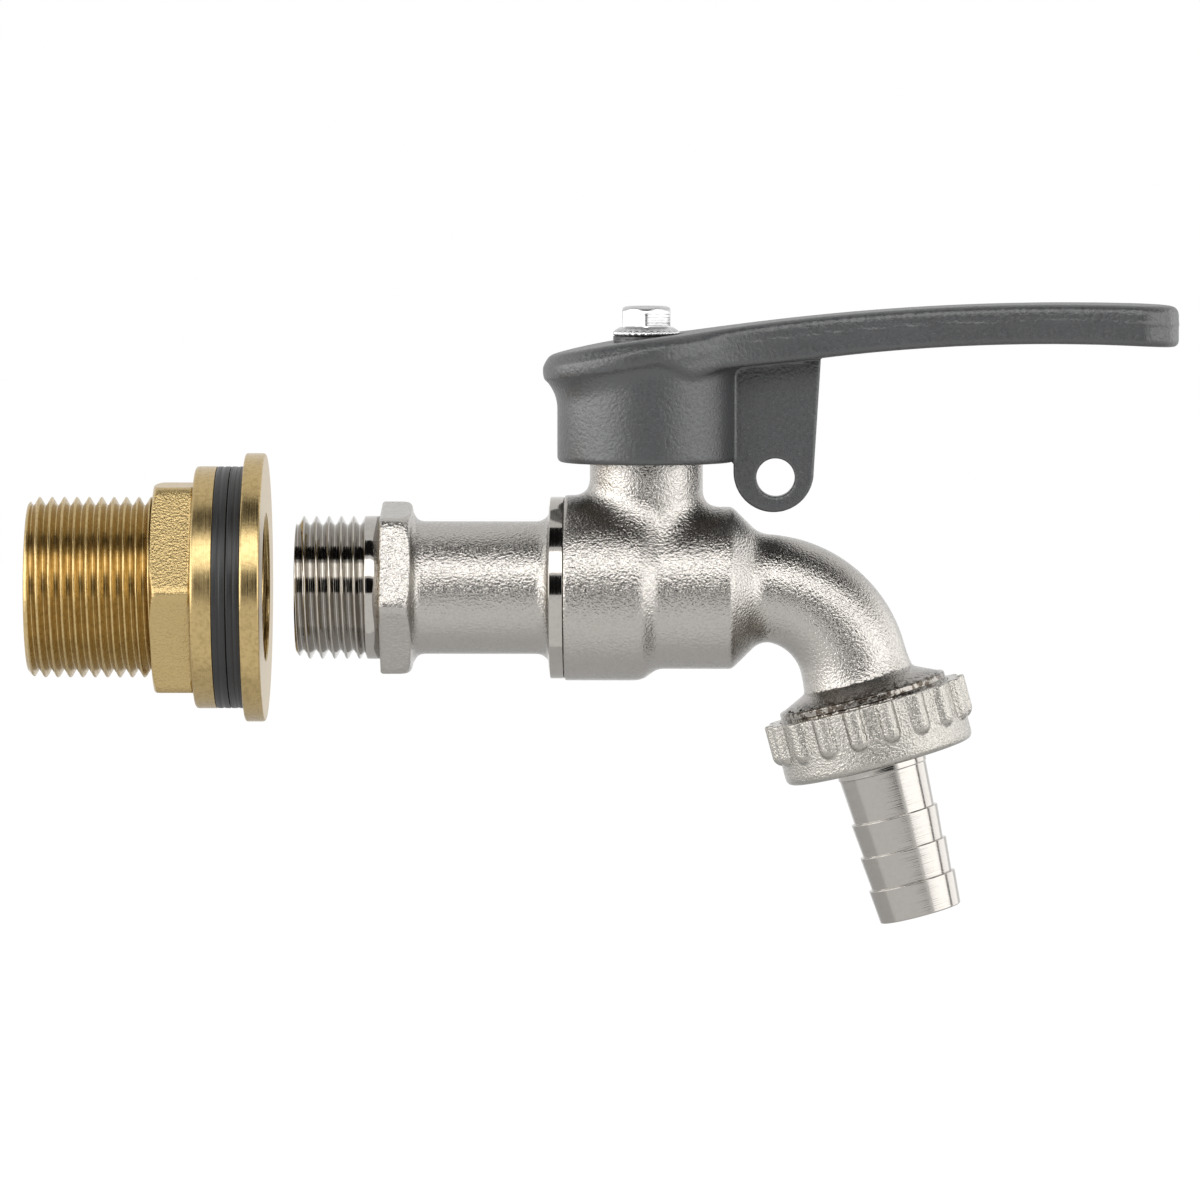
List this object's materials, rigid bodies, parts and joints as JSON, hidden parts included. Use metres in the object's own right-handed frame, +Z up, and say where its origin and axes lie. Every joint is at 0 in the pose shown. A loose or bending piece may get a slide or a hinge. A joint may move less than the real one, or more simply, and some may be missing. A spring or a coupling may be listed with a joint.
{
  "type": "water butt tap",
  "caption": "Lever ball tap with male inlet thread, bent spout, hose union and barbed tail, and a brass tank connector set apart on its inlet axis.",
  "frame": {"origin": "on the inlet axis, at the shoulder where the inlet thread meets the hexagon", "axes": "+X along the inlet axis towards the spout, +Z up along the stem towards the lever, +Y away from the side that the picture shows"},
  "size_m": [0.168, 0.0392, 0.0908],
  "materials": {
    "body_nickel": "satin",
    "adapter_nickel": "satin",
    "nut_nickel": "satin",
    "tail_nickel": "polished",
    "lever_paint": "satin",
    "zinc_steel": "polished",
    "dark_washer": "satin",
    "ball_chrome": "polished",
    "stem_brass": "satin",
    "white_seat": "matte",
    "inner_rubber": "matte",
    "black_rubber": "matte",
    "connector_brass": "satin",
    "nut_brass": "satin"
  },
  "bodies": {
    "valve_body": {"valve_body": "body_nickel", "inlet_adapter": "adapter_nickel", "adapter_o_ring": "inner_rubber", "inlet_seat": "white_seat", "outlet_seat": "white_seat", "thrust_washer": "white_seat", "stem_packing": "white_seat", "gland_nut": "stem_brass"},
    "lever": {"lever": "lever_paint", "lever_bolt": "zinc_steel", "lever_washer": "dark_washer", "stem": "stem_brass", "ball": "ball_chrome", "stem_o_ring": "inner_rubber"},
    "hose_tail": {"hose_tail": "tail_nickel", "union_gasket": "inner_rubber"},
    "union_nut": {"union_nut": "nut_nickel"},
    "tank_bushing": {"tank_bushing": "connector_brass", "outer_gasket": "black_rubber"},
    "inner_gasket": {"inner_gasket": "black_rubber"},
    "tank_nut": {"tank_nut": "nut_brass"}
  },
  "joints": [
    {"name": "lever_turn", "type": "hinge", "parent": "valve_body", "child": "lever", "pos_m": [0.03867, 0, 0], "axis": [0, 0, 1], "range_deg": [-90, 0]},
    {"name": "tail_drop", "type": "slide", "parent": "valve_body", "child": "hose_tail", "axis": [0.2588, 0, -0.9659], "range_m": [0, 0.005]},
    {"name": "nut_spin", "type": "hinge", "parent": "hose_tail", "child": "union_nut", "pos_m": [0.0697, 0, -0.01353], "axis": [0.2588, 0, -0.9659], "range_deg": [0, 990]},
    {"name": "connector_offer", "type": "slide", "parent": "valve_body", "child": "tank_bushing", "axis": [1, 0, 0], "range_m": [0, 0.01665]},
    {"name": "gasket_slide", "type": "slide", "parent": "tank_bushing", "child": "inner_gasket", "axis": [-1, 0, 0], "range_m": [0, 0.01]},
    {"name": "tank_nut_spin", "type": "hinge", "parent": "inner_gasket", "child": "tank_nut", "pos_m": [-0.03, 0, 0], "axis": [-1, 0, 0], "range_deg": [0, 1980]}
  ],
  "couplings": [
    {"joint": "tail_drop", "follows": "nut_spin", "m_per_rad": 0.00028871},
    {"joint": "gasket_slide", "follows": "tank_nut_spin", "m_per_rad": 0.00028871}
  ]
}
